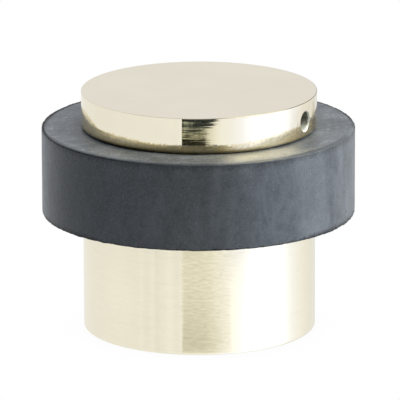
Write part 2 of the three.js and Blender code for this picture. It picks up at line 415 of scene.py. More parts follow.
        # painted reflection: the brown strip darker still in front, where the rim mirrors the ring's shaded top
        front_reflection_shade = N.m("MULTIPLY", N.m("MULTIPLY", N.ss(x, -12.5, -7.0), N.ss(x, 4.6, 2.6)), N.ss(y, 0.0, -8.0))
        col = N.mul(N.m("MULTIPLY", N.m("MULTIPLY", tarnish_and_reflection, front_reflection_shade), 0.9), col, (0.66, 0.65, 0.61))
        col = N.mul(N.m("MULTIPLY", tarnish_and_reflection, N.lin(N.noise(P, 3.2, 4.0, 0.7), 0.50, 0.66, 0.0, 0.55)), col, (0.55, 0.48, 0.36))
        # painted shade: the rim's foot darkened where it meets the ring, less so towards the right, with a thinner dark
        # line on the right
        foot_shade = N.m("MULTIPLY", N.ss(N.m("ADD", z, N.m("MULTIPLY", N.m("SUBTRACT", rag, 0.5), 0.5)), CAP_Z0 + 0.85, CAP_Z0 + 0.15), N.ss(r, CAP_R - 1.2, CAP_R - 0.6))
        col = N.mul(N.m("MULTIPLY", foot_shade, N.m("MULTIPLY", N.ss(x, 2.5, 7.0, 0.9, 0.35), N.ss(x, 8.0, 12.0, 1.0, 0.35))), col, (0.34, 0.30, 0.23))
        foot_shade_right = N.m("MULTIPLY", N.ss(N.m("ADD", z, N.m("MULTIPLY", N.m("SUBTRACT", fine_rag, 0.5), 0.5)), CAP_Z0 + 0.75, CAP_Z0 + 0.35), N.m("MULTIPLY", N.ss(x, 3.0, 5.0), wall))
        col = N.mul(N.m("MULTIPLY", foot_shade_right, N.ss(x, 7.5, 11.0, 0.75, 0.30)), col, (0.52, 0.48, 0.38))
        # tarnish and handling marks round the rim hole
        hole = N.v("DISTANCE", P, (CAP_R * math.sin(GRUB_AZ), -CAP_R * math.cos(GRUB_AZ), GRUB_Z))
        near = N.m("MULTIPLY", N.ss(hole, 5.5, 1.3), wall)
        blot = N.noise(P, 0.85, 5.0, 0.65, 0.4)
        mott = N.m("MULTIPLY", near, N.lin(blot, 0.40, 0.60))
        col = N.mul(N.m("MULTIPLY", mott, 0.60), col, (0.86, 0.79, 0.74))
        col = N.mul(N.m("MULTIPLY", near, N.lin(blot, 0.52, 0.36, 0.0, 0.55)), col, (0.84, 0.80, 0.66))
        drip_az = math.radians(75.5)
        drip = N.v("DISTANCE", N.v("MULTIPLY", P, (1.0, 1.0, 0.42)), (CAP_R * math.sin(drip_az), -CAP_R * math.cos(drip_az), 32.05 * 0.42))
        drip = N.m("MULTIPLY", N.ss(N.m("ADD", drip, N.m("MULTIPLY", N.m("SUBTRACT", rag, 0.5), 1.6)), 1.5, 0.4), wall)
        col = N.mul(N.m("MULTIPLY", drip, 0.75), col, (0.66, 0.58, 0.42))
        rgh = N.m("ADD", rough, N.m("ADD", N.m("MULTIPLY", mott, 0.16), N.m("MULTIPLY", N.m("MAXIMUM", tarnish_and_reflection, drip), 0.10)))
    if kind == "cap":
        col = N.mul(N.m("MULTIPLY", N.m("SUBTRACT", 1.0, wall), N.lin(N.noise(P, 0.075, 3.0, 0.6), 0.35, 0.65)), col, (0.965, 0.968, 0.965))
        # painted shade: the cap's top outer edge darkened, most on the right, which takes away its highlight there
        top_edge_shade = N.ss(N.m("MAXIMUM", N.m("SUBTRACT", CAP_R, r), N.m("SUBTRACT", CAP_Z1, z)), 0.11, 0.07)
        col = N.mul(N.m("MULTIPLY", top_edge_shade, N.ss(x, -2.0, 5.0, 0.12, 0.80)), col, (0.20, 0.185, 0.15))
    tan = N.new("ShaderNodeTangent", direction_type="RADIAL", axis="Z")
    principled(N, Base_Color=col, Metallic=1.0, Roughness=rgh, Anisotropic=N.m("MULTIPLY", wall, aniso),
               Anisotropic_Rotation=0.25, Tangent=tan.outputs[0], Normal=nrm)
    return mat


def rubber(name):
    mat, N = material(name)
    tc = N.new("ShaderNodeTexCoord")
    P = N.v("SCALE", tc.outputs["Object"], scale=1000.0)
    x, y, z = N.sep(P)
    r = N.m("SQRT", N.m("ADD", N.m("MULTIPLY", x, x), N.m("MULTIPLY", y, y)))
    geo = N.new("ShaderNodeNewGeometry")
    nz = N.sep(geo.outputs["Normal"])[2]
    top = N.ss(nz, 0.55, 0.9)
    cloud = N.noise(P, 0.16, 4.0, 0.6, 0.4)
    mid = N.noise(P, 0.75, 4.0, 0.65)
    speck = N.noise(P, 4.6, 2.0, 0.7)
    dust = N.noise(P, 2.9, 1.0, 0.5)
    grain = N.noise(P, 11.0, 2.0, 0.6)
    veil = N.noise(N.xyz(x, y, N.m("MULTIPLY", z, 0.45)), 0.34, 5.0, 0.66, 0.5)
    fleck = N.noise(P, 3.4, 3.0, 0.75)
    base = N.mix(N.lin(cloud, 0.32, 0.68), srgb(50, 55, 61), srgb(61, 66, 73))
    base = N.mix(N.lin(veil, 0.48, 0.66, 0.0, 0.50), base, srgb(82, 88, 96))
    base = N.mix(N.lin(veil, 0.46, 0.32, 0.0, 0.50), base, srgb(36, 41, 47))
    base = N.mix(N.lin(fleck, 0.50, 0.70, 0.0, 0.26), base, srgb(90, 95, 101))
    base = N.mix(N.lin(fleck, 0.50, 0.32, 0.0, 0.28), base, srgb(36, 39, 43))
    base = N.mix(N.lin(mid, 0.42, 0.74, 0.0, 0.35), base, srgb(80, 86, 92))
    base = N.mix(N.lin(mid, 0.42, 0.25, 0.0, 0.40), base, srgb(36, 40, 45))
    base = N.mix(N.lin(speck, 0.66, 0.78, 0.0, 0.50), base, srgb(104, 112, 120))
    base = N.mix(N.lin(speck, 0.38, 0.25, 0.0, 0.30), base, srgb(26, 29, 33))
    base = N.mix(N.lin(dust, 0.72, 0.78, 0.0, 0.25), base, srgb(132, 140, 146))
    # painted shade: the ring's wall darker in the middle of the front
    front_wall_shade = N.m("MULTIPLY", N.m("MULTIPLY", N.ss(x, -2.5, 1.0), N.ss(x, 5.2, 3.2)), N.m("MULTIPLY", N.m("SUBTRACT", 1.0, top), N.ss(y, -10.0, -16.0)))
    base = N.mul(N.m("MULTIPLY", front_wall_shade, 0.9), base, (0.78, 0.78, 0.78))
    # painted light: the ring's wall lighter towards the right of the front
    pale = N.m("MULTIPLY", N.m("MULTIPLY", N.ss(x, 13.0, 15.5), N.ss(x, 19.0, 17.0)), N.m("MULTIPLY", N.m("SUBTRACT", 1.0, top), N.ss(y, -4.0, -9.0)))
    base = N.mix(N.m("MULTIPLY", pale, 0.16), base, srgb(112, 118, 126))
    # stronger grain where the wall turns into the dark side, and on the front of the top
    dark_side = N.m("MULTIPLY", N.m("SUBTRACT", 1.0, top), N.m("MULTIPLY", N.ss(x, -5.0, -12.0), N.ss(y, 6.0, -4.0)))
    front_top = N.m("MULTIPLY", top, N.ss(y, -10.0, -15.0))
    base = N.mix(N.m("MULTIPLY", dark_side, N.lin(fleck, 0.51, 0.66, 0.0, 0.27)), base, srgb(104, 110, 117))
    base = N.mix(N.m("MULTIPLY", dark_side, N.lin(speck, 0.46, 0.30, 0.0, 0.34)), base, srgb(20, 23, 27))
    base = N.mix(N.m("MULTIPLY", front_top, N.lin(speck, 0.53, 0.68, 0.0, 0.55)), base, srgb(136, 139, 137))
    base = N.mix(N.m("MULTIPLY", front_top, N.lin(fleck, 0.47, 0.33, 0.0, 0.60)), base, srgb(32, 35, 38))
    # smears wiped across the top face, more on one side than the other
    sm = N.noise(N.xyz(N.m("ADD", N.m("MULTIPLY", x, 0.30), N.m("MULTIPLY", y, 0.16)),
                       N.m("ADD", N.m("MULTIPLY", y, 0.85), N.m("MULTIPLY", x, -0.42)), z), 1.0, 5.0, 0.70, 0.6)
    arc = N.noise(N.xyz(N.m("MULTIPLY", r, 2.6), N.m("MULTIPLY", x, 0.22), N.m("MULTIPLY", y, 0.22)), 1.0, 4.0, 0.68, 0.3)
    sm = N.m("ADD", N.m("MULTIPLY", sm, 0.62), N.m("MULTIPLY", arc, 0.38))
    base = N.mix(N.m("MULTIPLY", top, N.lin(sm, 0.53, 0.66, 0.0, 0.50)), base, srgb(112, 120, 126))
    base = N.mix(N.m("MULTIPLY", top, N.lin(sm, 0.47, 0.35, 0.0, 0.50)), base, srgb(34, 39, 45))
    # brownish dust on the top beside the cap in front, and painted light: the shaded strip there is lightened and
    # warmed, most on the right, as by light thrown from the brass rim
    near = N.m("MULTIPLY", top, N.ss(N.m("ADD", r, N.m("MULTIPLY", N.m("SUBTRACT", mid, 0.5), 6.0)), 23.6, 19.5))
    near = N.m("MULTIPLY", near, N.m("MULTIPLY", N.ss(y, -12.0, -16.0), N.ss(x, -17.0, -12.0)))
    near = N.m("MULTIPLY", near, N.ss(x, 0.0, 6.5, 0.32, 1.0))
    near = N.m("MULTIPLY", near, N.m("SUBTRACT", 1.0, N.m("MULTIPLY", N.ss(x, 5.0, 9.0), N.ss(N.m("SUBTRACT", RING_R, r), 1.15, 0.55))))
    base = N.mix(N.m("MULTIPLY", near, N.lin(fleck, 0.3, 0.7, 0.30, 0.75)), base, srgb(106, 104, 93))
    # moulded edges: a painted highlight along the top's lip in front, painted shade along the top's outer edge at the
    # back and left, just under it on the wall, and along the bottom flash
    rag = N.noise(P, 1.7, 3.0, 0.65)
    e_r = N.m("SUBTRACT", RING_R, r)
    e_t = N.m("SUBTRACT", RING_Z1, z)
    e_b = N.m("SUBTRACT", z, RING_Z0)
    wall = N.m("SUBTRACT", 1.0, N.ss(N.m("ABSOLUTE", nz), 0.30, 0.80))
    lip = N.m("MULTIPLY", top, N.ss(N.m("ADD", e_r, N.m("MULTIPLY", N.m("SUBTRACT", rag, 0.5), 0.8)), 0.75, 0.25))
    base = N.mix(N.m("MULTIPLY", lip, N.ss(y, 2.0, -6.0, 0.0, 0.24)), base, srgb(112, 122, 128))
    back_edge_shade = N.m("MULTIPLY", N.m("MULTIPLY", top, N.ss(y, -4.0, 6.0)), N.ss(N.m("ADD", e_r, N.m("MULTIPLY", N.m("SUBTRACT", rag, 0.5), 0.5)), 0.75, 0.30))
    base = N.mix(N.m("MULTIPLY", back_edge_shade, 0.85), base, srgb(14, 15, 17))
    # painted shade: a dark line on the corner itself, mostly at the left and back
    corner = N.ss(N.m("MAXIMUM", e_r, e_t), 0.30, 0.12)
    corner = N.m("MULTIPLY", corner, N.m("MAXIMUM", N.ss(x, 0.0, -15.0, 0.30, 1.0), N.ss(y, -6.0, 2.0)))
    base = N.mix(N.m("MULTIPLY", corner, 0.90), base, srgb(12, 13, 15))
    # painted shade: the top's outer corner in front is darkened, and in the middle the top darkens towards it
    front_edge_shade = N.m("MULTIPLY", N.m("MULTIPLY", top, N.ss(y, -3.0, -8.0)), N.ss(N.m("ADD", e_r, N.m("MULTIPLY", N.m("SUBTRACT", rag, 0.5), 0.35)), N.ss(x, 4.0, 8.0, 0.74, 1.15), N.ss(x, 4.0, 8.0, 0.44, 0.70)))
    base = N.mix(N.m("MULTIPLY", front_edge_shade, 0.80), base, srgb(46, 50, 55))
    front_top_shade = N.m("MULTIPLY", N.m("MULTIPLY", top, N.ss(N.m("ADD", e_r, N.m("MULTIPLY", N.m("SUBTRACT", mid, 0.5), 2.0)), 4.1, 3.0)),
               N.m("MULTIPLY", N.m("MULTIPLY", N.ss(x, -12.0, -8.0), N.ss(x, 5.0, 2.2)), N.ss(y, -14.0, -17.0)))
    base = N.mul(N.m("MULTIPLY", front_top_shade, N.ss(x, -7.5, -5.0, 0.45, 0.72)), base, (0.60, 0.60, 0.59))
    # painted shade: the top darker towards the right and back
    right_back_top_shade = N.m("MULTIPLY", N.m("MULTIPLY", top, N.ss(x, 13.0, 17.0)), N.ss(y, -4.0, 1.0))
    base = N.mul(right_back_top_shade, base, (0.76, 0.77, 0.79))
    # painted shade just under the top edge on the wall, and along the bottom flash where the ring sits on the base,
    # thicker at the sides
    under = N.m("MULTIPLY", wall, N.ss(N.m("ADD", e_t, N.m("MULTIPLY", N.m("SUBTRACT", rag, 0.5), 1.6)), 1.25, 0.10))
    base = N.mix(N.m("MULTIPLY", under, 0.42), base, srgb(24, 26, 28))
    foot_h = N.m("ADD", 0.30, N.m("MULTIPLY", N.ss(N.m("ABSOLUTE", x), 12.0, 17.5), 0.72))
    foot = N.ss(N.m("ADD", e_b, N.m("MULTIPLY", N.m("SUBTRACT", rag, 0.5), 1.0)), foot_h, 0.08)
    base = N.mix(N.m("MULTIPLY", foot, 0.88), base, srgb(13, 14, 16))
    # the painted-shade masks of the edges also take away sheen
    edge_shade_dull = N.m("MAXIMUM", N.m("MAXIMUM", N.m("MAXIMUM", corner, back_edge_shade), N.m("MULTIPLY", front_edge_shade, 0.7)), N.m("MAXIMUM", N.m("MULTIPLY", under, 0.4), N.m("MULTIPLY", foot, 0.6)))
    # the finish varies from grain to grain, and the top is duller in front where it has been wiped
    tooth = N.m("ADD", N.m("MULTIPLY", N.m("SUBTRACT", fleck, 0.5), 1.1), N.m("MULTIPLY", N.m("SUBTRACT", speck, 0.5), 0.8))
    matt = N.m("MULTIPLY", top, N.m("MULTIPLY", N.ss(y, -9.0, -17.0), N.ss(x, 5.5, 0.0, 0.0, 0.34)))
    spec = N.m("SUBTRACT", N.m("ADD", 0.5, N.m("MULTIPLY", tooth, N.m("ADD", 0.20, N.m("MULTIPLY", top, 0.34)))), N.m("ADD", matt, N.m("MULTIPLY", N.m("MULTIPLY", top, N.m("SUBTRACT", 0.5, sm)), 0.65)))
    spec = N.m("MAXIMUM", 0.04, N.m("MULTIPLY", spec, N.m("SUBTRACT", 1.0, N.m("MULTIPLY", edge_shade_dull, 0.85))))
    rgh = N.m("ADD", N.lin(mid, 0.3, 0.7, 0.36, 0.45), N.m("MULTIPLY", top, 0.03))
    h = N.m("ADD", N.m("MULTIPLY", grain, 0.25), N.m("ADD", N.m("MULTIPLY", speck, 0.45), N.m("MULTIPLY", mid, 0.8)))
    nrm = N.bump(h, 0.35, 0.00012)
    principled(N, Base_Color=base, Metallic=0.0, Roughness=rgh,
               Specular_IOR_Level=spec, Specular_Tint=(0.84, 0.93, 1.0, 1.0), Normal=nrm)
    return mat


def steel(name, colour, rough, scale=1.0):
    mat, N = material(name)
    tc = N.new("ShaderNodeTexCoord")
    P = N.v("SCALE", tc.outputs["Object"], scale=1000.0)
    n1 = N.noise(P, 1.3 * scale, 4.0, 0.6)
    n2 = N.noise(P, 9.0 * scale, 3.0, 0.6)
    col = N.mix(N.lin(n1, 0.3, 0.7), tuple(c * 0.8 for c in colour), tuple(min(1, c * 1.12) for c in colour))
    rgh = N.m("ADD", rough, N.m("MULTIPLY", N.m("SUBTRACT", n2, 0.5), 0.18))
    principled(N, Base_Color=col, Metallic=1.0, Roughness=rgh, Normal=N.bump(n2, 0.25, 0.00003))
    return mat


def bore(name):
    """The drilled wall of the rim hole: dull and streaked, with painted shade darkening it at the top and painted light
    paling it at the bottom, as for a hole lit from above.
    """
    mat, N = material(name)
    tc = N.new("ShaderNodeTexCoord")
    P = N.v("SCALE", tc.outputs["Object"], scale=1000.0)
    x, y, z = N.sep(P)
    n1 = N.noise(P, 2.6, 4.0, 0.7)
    n2 = N.noise(P, 6.5, 3.0, 0.7)
    streak = N.noise(N.xyz(N.m("MULTIPLY", x, 4.0), N.m("MULTIPLY", y, 4.0), N.m("MULTIPLY", z, 0.8)), 1.0, 3.0, 0.6)
    zz = N.m("ADD", z, N.m("MULTIPLY", N.m("SUBTRACT", n1, 0.5), 0.7))
    col = N.mix(N.ss(zz, GRUB_Z + 0.3, GRUB_Z - 0.6), (0.135, 0.135, 0.105), (0.25, 0.25, 0.235))
    col = N.mix(N.ss(zz, GRUB_Z - 0.62, GRUB_Z - 0.98), col, (0.48, 0.505, 0.485))
    col = N.mul(N.lin(streak, 0.48, 0.62, 0.0, 0.7), col, (0.45, 0.45, 0.38))
    col = N.mul(N.lin(n2, 0.52, 0.66, 0.0, 0.5), col, (0.55, 0.55, 0.50))
    principled(N, Base_Color=col, Metallic=0.35, Roughness=0.55, Normal=N.bump(n1, 0.4, 0.00008))
    return mat


def lip(name):
    """The deburred mouth of the rim hole, dull and dusty."""
    mat, N = material(name)
    tc = N.new("ShaderNodeTexCoord")
    P = N.v("SCALE", tc.outputs["Object"], scale=1000.0)
    n1 = N.noise(P, 3.5, 3.0, 0.7)
    col = N.mix(N.lin(n1, 0.36, 0.64), (0.34, 0.355, 0.325), (0.61, 0.625, 0.59))
    principled(N, Base_Color=col, Metallic=0.25, Roughness=0.60, Specular_IOR_Level=0.2, Normal=N.bump(n1, 0.3, 0.00005))
    return mat


MAT_BASE = brass("brass_satin_turned", "base")
MAT_CAP = brass("brass_polished", "cap")
MAT_RUBBER = rubber("rubber_blue_grey")
MAT_BORE = bore("bore_dull")
MAT_LIP = lip("bore_lip")
MAT_GRUB = steel("steel_dark_oiled", (0.20, 0.20, 0.19), 0.42)
MAT_ZINC = steel("steel_zinc", (0.62, 0.64, 0.66), 0.30)
MAT_WASHER = steel("steel_zinc_dull", (0.56, 0.57, 0.58), 0.38)

# ---------------------------------------------------------------------- pieces
SEG = 360

# base and neck in one turning
base_profile = fillet([
    (HOLE_R, 0.6, 0.10),
    (10.2, 0.6, 0.15),
    (10.5, 0.0, 0.08),
    (BASE_R, 0.0, 0.42),
    (BASE_R, SHOULDER, 0.22),
    (NECK_R, SHOULDER, 0.25),
    (NECK_R, NECK_TOP, 0.45),
    (BORE_R, NECK_TOP, 0.35),
    (BORE_R, WEB, 0.30),
    (HOLE_R, WEB, 0.15),
], closed=True)
base = lathe("base_turned", base_profile, SEG, True)
base.data.materials.append(MAT_BASE)


# rubber ring, with moulding flash and small nicks along its edges
def make_ring():
    prof = fillet([
        (RING_BORE, RING_Z0, 0.25),
        (RING_R, RING_Z0, 0.16),
        (RING_R, RING_Z1, 0.16),
        (RING_BORE, RING_Z1, 0.25),
    ], closed=True, support=0.05)
    prof = densify(prof, 0.5, closed=True)
    seg = 1080
    R, th = lathe_rings(prof, seg)
    P = np.array(prof)
    r, z = P[:, 0][:, None], P[:, 1][:, None]
    c, s = np.sin(th)[None, :], -np.cos(th)[None, :]
    rad = np.repeat(r, seg, 1)
    zz = np.repeat(z, seg, 1)
    # closeness to the two outer edges
    top = np.exp(-(((r - RING_R) / 0.28) ** 2 + ((z - RING_Z1) / 0.28) ** 2))
    bot = np.exp(-(((r - RING_R) / 0.28) ** 2 + ((z - RING_Z0) / 0.30) ** 2))
    out = np.clip((r - RING_BORE - 1.0) / 2.0, 0, 1)
    X, Y = RING_R * c, RING_R * s
    # ragged trim of the flash
    rag_t = fbm(X * 0.9, Y * 0.9, octaves=4, seed=3)
    rag_b = fbm(X * 1.1, Y * 1.1, octaves=4, seed=9)
    fine_t = value_noise(X * 4.0, Y * 4.0, seed=21)
    d_r = top * (0.03 * rag_t + 0.02 * fine_t - 0.03) + bot * (0.05 * rag_b + 0.02 * fine_t - 0.05)
    d_z = top * (0.05 * rag_t + 0.02 * fine_t - 0.02) + bot * (-0.05 * rag_b - 0.02 * fine_t + 0.03)
    # slow unevenness of the moulding on the outer wall and the top
    wob = 0.025 * fbm(X * 0.12, Y * 0.12, zz * 0.15, octaves=3, seed=5)
    d_r = d_r + out * wob * (np.abs(zz - (RING_Z0 + RING_Z1) / 2) < 8)
    d_z = d_z + out * np.sign(zz - 23.0) * 0.010 * fbm(rad * c * 0.3, rad * s * 0.3, octaves=3, seed=7)
    rad2 = rad + np.where(out > 0, d_r, 0)
    z2 = zz + np.where(out > 0, d_z, 0)
    z2 = np.clip(z2, RING_Z0 - 0.0, RING_Z1 + 0.03)
    rad2 = rad2 + 0.09 * out
    R = np.stack([rad2 * c - 0.10, rad2 * s, z2], -1)      # it sits a hair to one side on the neck
    ob = rings_mesh("buffer_ring", R, closed=True)
    ob.data.materials.append(MAT_RUBBER)
    return ob


ring = make_ring()


# M3 thread on a cylinder: radius at (angle, distance) for a given crest and root
def thread_r(th, t, crest, root, pitch, flat=0.18):
    ph = (t / pitch - th / (2 * np.pi)) % 1.0
    tri = np.abs(ph * 2 - 1)                    # 1 at the crest, 0 at the root
    k = np.clip((tri - flat) / (1 - 2 * flat), 0, 1)
    return root + (crest - root) * k


OUT = Vector((math.sin(GRUB_AZ), -math.cos(GRUB_AZ), 0.0))
AIM = Matrix((( -math.cos(GRUB_AZ), 0.0, OUT.x), (-math.sin(GRUB_AZ), 0.0, OUT.y), (0.0, 1.0, 0.0)))  # columns: side, up, out
if AIM.determinant() < 0:
    AIM.col[0] = -AIM.col[0]


def lay_on_hole(R):
    """Points made with +Z along the hole's axis, moved on to it."""
    A = np.array(AIM)
    return R @ A.T + np.array([0, 0, GRUB_Z])


# cap: plate and rim with its recess, then the tapped hole cut through the rim
def make_cap():
    prof = fillet([
        (0.0, CAP_ROOF),
        (CAP_BORE, CAP_ROOF, 0.25),
        (CAP_BORE, CAP_Z0, 0.30),
        (CAP_R, CAP_Z0, 0.42),
        (CAP_R, CAP_Z1, 0.07),
        (0.0, CAP_Z1),
    ])
    # keep an inner loop on the plate so the pole fan is small and flat
    prof = [prof[0], (2.0, CAP_ROOF)] + prof[1:-1] + [(2.0, CAP_Z1), prof[-1]]
    cap = lathe("cap_shell", prof, SEG, False)
    # cutter: threaded bore with a deburred mouth
    n = 64
    th = np.linspace(0, 2 * np.pi, n, endpoint=False)
    t0, t1 = 9.6, CAP_R - 0.02
    rows = []
    t_plain = CAP_R - 2.2
    for t in np.arange(t0, t_plain - 0.25, PITCH / 8):
        rr = thread_r(th, np.full(n, t), 1.50, 1.25, PITCH)
        rows.append(np.stack([rr * np.cos(th), rr * np.sin(th), np.full(n, t)], -1))
    for rr, t in ((1.36, t_plain - 0.12), (1.355, t_plain), (1.35, CAP_R - 0.34), (1.38, CAP_R - 0.26), (1.51, CAP_R - 0.04), (1.64, CAP_R + 0.1), (2.0, CAP_R + 0.4), (2.0, CAP_R + 1.5)):
        rows.append(np.stack([rr * np.cos(th), rr * np.sin(th), np.full(n, t)], -1))
    tool = rings_mesh("hole_tool", lay_on_hole(np.array(rows)), pole_start=tuple(lay_on_hole(np.array([[0, 0, t0]]))[0]),
                      pole_end=tuple(lay_on_hole(np.array([[0, 0, CAP_R + 1.5]]))[0]))
    mod = cap.modifiers.new("hole", "BOOLEAN")
    mod.operation, mod.solver, mod.object = "DIFFERENCE", "EXACT", tool
    bpy.context.view_layer.update()
    dg = bpy.context.evaluated_depsgraph_get()
    me = bpy.data.meshes.new_from_object(cap.evaluated_get(dg))
    old = cap.data
    cap.modifiers.clear()
    cap.data = me
    bpy.data.meshes.remove(old)
    bpy.data.objects.remove(tool, do_unlink=True)
    me.shade_smooth()
    me.set_sharp_from_angle(angle=math.radians(32))
    # exact normals on the turned wall, where the cut leaves many-sided faces
    co = np.zeros(len(me.vertices) * 3, np.float32)
    me.vertices.foreach_get("co", co)
    co = co.reshape(-1, 3)
    rad = np.hypot(co[:, 0], co[:, 1])
    normals = [tuple(c.vector) for c in me.corner_normals]
    for p in me.polygons:
        if abs(p.normal.z) < 0.02 and all(abs(rad[v] - CAP_R * MM) < 2e-6 for v in p.vertices):
            for li in p.loop_indices:
                v = me.loops[li].vertex_index
                normals[li] = (co[v, 0] / rad[v], co[v, 1] / rad[v], 0.0)
    me.normals_split_custom_set(normals)
    me.materials.append(MAT_CAP)
    me.materials.append(MAT_BORE)
    me.materials.append(MAT_LIP)
    out_ax = np.array(OUT)
    for p in me.polygons:
        c = np.array(p.center) / MM
        d = c - np.array([0, 0, GRUB_Z])
        t = float(d @ out_ax)
        off = float(np.linalg.norm(d - t * out_ax))
        if t > CAP_BORE - 0.5 and off < 1.75 and abs(float(np.array(p.normal) @ out_ax)) < 0.93 and len(p.vertices) < 8:
            p.material_index = 2 if off > 1.40 and t > CAP_R - 0.5 else 1
    return cap


cap = make_cap()


# grub screw: thread, chamfered ends, hexagon socket
def make_grub():
    n = 72
    th = np.linspace(0, 2 * np.pi, n, endpoint=False)
    L, t_in = 3.6, NECK_R + 0.12
    rows = []

    def ring_at(rr, t):
        rr = np.broadcast_to(rr, th.shape)
        rows.append(np.stack([rr * np.cos(th), rr * np.sin(th), np.full(n, t_in + t)], -1))

    ring_at(0.55, 0.18)                      # cup point
    ring_at(0.80, 0.0)
    for t in np.arange(0.05, L - 0.02, PITCH / 10):
        lim = 0.80 + (t / 0.55) if t < 0.62 else 9.0
        lim = min(lim, 1.22 + (L - t) * 1.0)
        ring_at(np.minimum(thread_r(th, np.full(n, t_in + t), 1.32, 1.07, PITCH), lim), t)
    ring_at(1.18, L)
    hexr = (0.75 / np.cos((th + np.pi / 6) % (np.pi / 3) - np.pi / 6))
    ring_at(hexr + 0.08, L)
    ring_at(hexr, L - 0.08)
    ring_at(hexr, L - 1.55)
    ring_at(0.55, L - 1.62)
    R = lay_on_hole(np.array(rows))
    ob = rings_mesh("grub_screw_m3", R, pole_start=tuple(lay_on_hole(np.array([[0, 0, t_in + 0.30]]))[0]),
                    pole_end=tuple(lay_on_hole(np.array([[0, 0, t_in + L - 1.85]]))[0]))
    ob.data.set_sharp_from_angle(angle=math.radians(38))
    ob.data.materials.append(MAT_GRUB)
    return ob


grub = make_grub()


# floor screw: point, helical wood thread, shank, pan head with a cross recess
def make_floor_screw():
    n = 96
    th = np.linspace(0, 2 * np.pi, n, endpoint=False)
    c, s = np.sin(th), -np.cos(th)
    rows = []

    def ring_at(rr, zz):
        rr = np.broadcast_to(rr, th.shape)
        zz = np.broadcast_to(zz, th.shape)
        rows.append(np.stack([rr * c, rr * s, zz], -1))

    head_h = 3.0
    under = SCREW_Z0 + 30.0
    z0 = SCREW_Z0
    pitch, t_len = 2.0, 22.0
    for t in np.arange(0.25, t_len + 1.0, pitch / 16):
        k = min(1.0, (t / 6.0)) ** 0.8
        root = max(0.10, 2.0 * k * 0.80)
        fade = np.clip((t_len + 0.9 - t) / 1.6, 0, 1)
        ph = ((t / pitch - th / (2 * np.pi)) % 1.0)
        ridge = np.clip(1 - np.abs(ph - 0.5) / 0.20, 0, 1) ** 0.9
        rr = root + (2.48 * k - root) * ridge * fade
        grow = np.clip((t - t_len + 0.6) / 1.2, 0, 1) * (2.02 - root)
        ring_at(np.maximum(rr, root + grow * (1 - 0)), z0 + t)
    ring_at(2.02, under - 0.7)
    ring_at(2.02, under - 0.25)
    ring_at(2.20, under - 0.02)
    ring_at(2.30, under)
    for rr, zz in ((4.60, 0.0), (4.72, 0.03), (4.78, 0.12), (4.80, 0.35), (4.76, 0.9), (4.60, 1.45), (4.30, 1.92), (3.90, 2.28), (3.45, 2.55)):
        ring_at(rr, under + zz)
    # dome with the recess: arms narrow and slope towards the bottom
    for rr in np.concatenate([np.linspace(3.2, 0.08, 56)]):
        dome = head_h - 0.45 * (rr / 3.45) ** 2
        px, py = rr * c, rr * s
        depth = np.zeros(n)
        for u, w in ((px, py), (py, px)):
            half = 0.62
            side = np.clip((half - np.abs(w)) / 0.10, 0, 1)
            run = np.clip((2.55 - np.abs(u)) / 0.75, 0, 1)
            depth = np.maximum(depth, side * run * (1.7 - 0.12 * np.abs(u)))
        centre = np.clip((1.15 - np.hypot(px, py)) / 0.12, 0, 1) * 1.75
        depth = np.maximum(depth, centre)
        ring_at(rr, under + dome - depth)
    R = np.array(rows)
    ob = rings_mesh("floor_screw_pan", R, pole_start=(0, 0, z0), pole_end=(0, 0, under + head_h - 1.85))
    ob.data.set_sharp_from_angle(angle=math.radians(50))
    ob.data.materials.append(MAT_ZINC)
    return ob


screw = make_floor_screw()

washer_profile = fillet([
    (HOLE_R, WASH_Z0, 0.05),
    (WASH_R, WASH_Z0, 0.08),
    (WASH_R, WASH_Z1, 0.18),
    (HOLE_R, WASH_Z1, 0.10),
], closed=True)
washer = lathe("washer_m5", washer_profile, 128, True)
washer.data.materials.append(MAT_WASHER)

for piece, node, body, slot in (
    (base, "base_body", "base", "turned_brass"),
    (ring, "rubber_ring", "ring", "buffer_rubber"),
    (cap, "cap", "cap", "polished_brass"),
    (grub, "cap_grub_screw", "grub_screw", "grub_steel"),
    (screw, "floor_screw", "floor_screw", "zinc_steel"),
    (washer, "screw_washer", "base", "washer_steel"),
):
    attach(piece, body)
    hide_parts(node)

# ----------------------------------------------------------------------- floor
floor_me = bpy.data.meshes.new("floor")
F = 4.0
floor_me.from_pydata([(-F, -F, 0), (F, -F, 0), (F, F, 0), (-F, F, 0)], [], [(0, 1, 2, 3)])
floor = bpy.data.objects.new("floor", floor_me)
bpy.context.scene.collection.objects.link(floor)
floor.location.z = -0.00002
# the floor: an evenly white emitter that other rays pass by, with a faint painted contact shadow from an
# ambient-occlusion node; its back face is see-through
mat, N = material("floor_white")
ao = N.new("ShaderNodeAmbientOcclusion", samples=8)
ao.inputs["Distance"].default_value = 0.006
lp = N.new("ShaderNodeLightPath")
geo = N.new("ShaderNodeNewGeometry")
em = N.new("ShaderNodeEmission")
N.put(em.inputs["Color"], N.mix(N.ss(ao.outputs["AO"], 0.45, 0.95), (0.982, 0.982, 0.982), (1.0, 1.0, 1.0)))
tr = N.new("ShaderNodeBsdfTransparent")
mixs = N.new("ShaderNodeMixShader")
N.put(mixs.inputs[0], geo.outputs["Backfacing"])
N.t.links.new(em.outputs[0], mixs.inputs[1])
N.t.links.new(tr.outputs[0], mixs.inputs[2])
outn = N.new("ShaderNodeOutputMaterial")
N.t.links.new(mixs.outputs[0], outn.inputs["Surface"])
floor_me.materials.append(mat)
floor.visible_glossy = False
floor.visible_diffuse = False
floor.visible_shadow = False

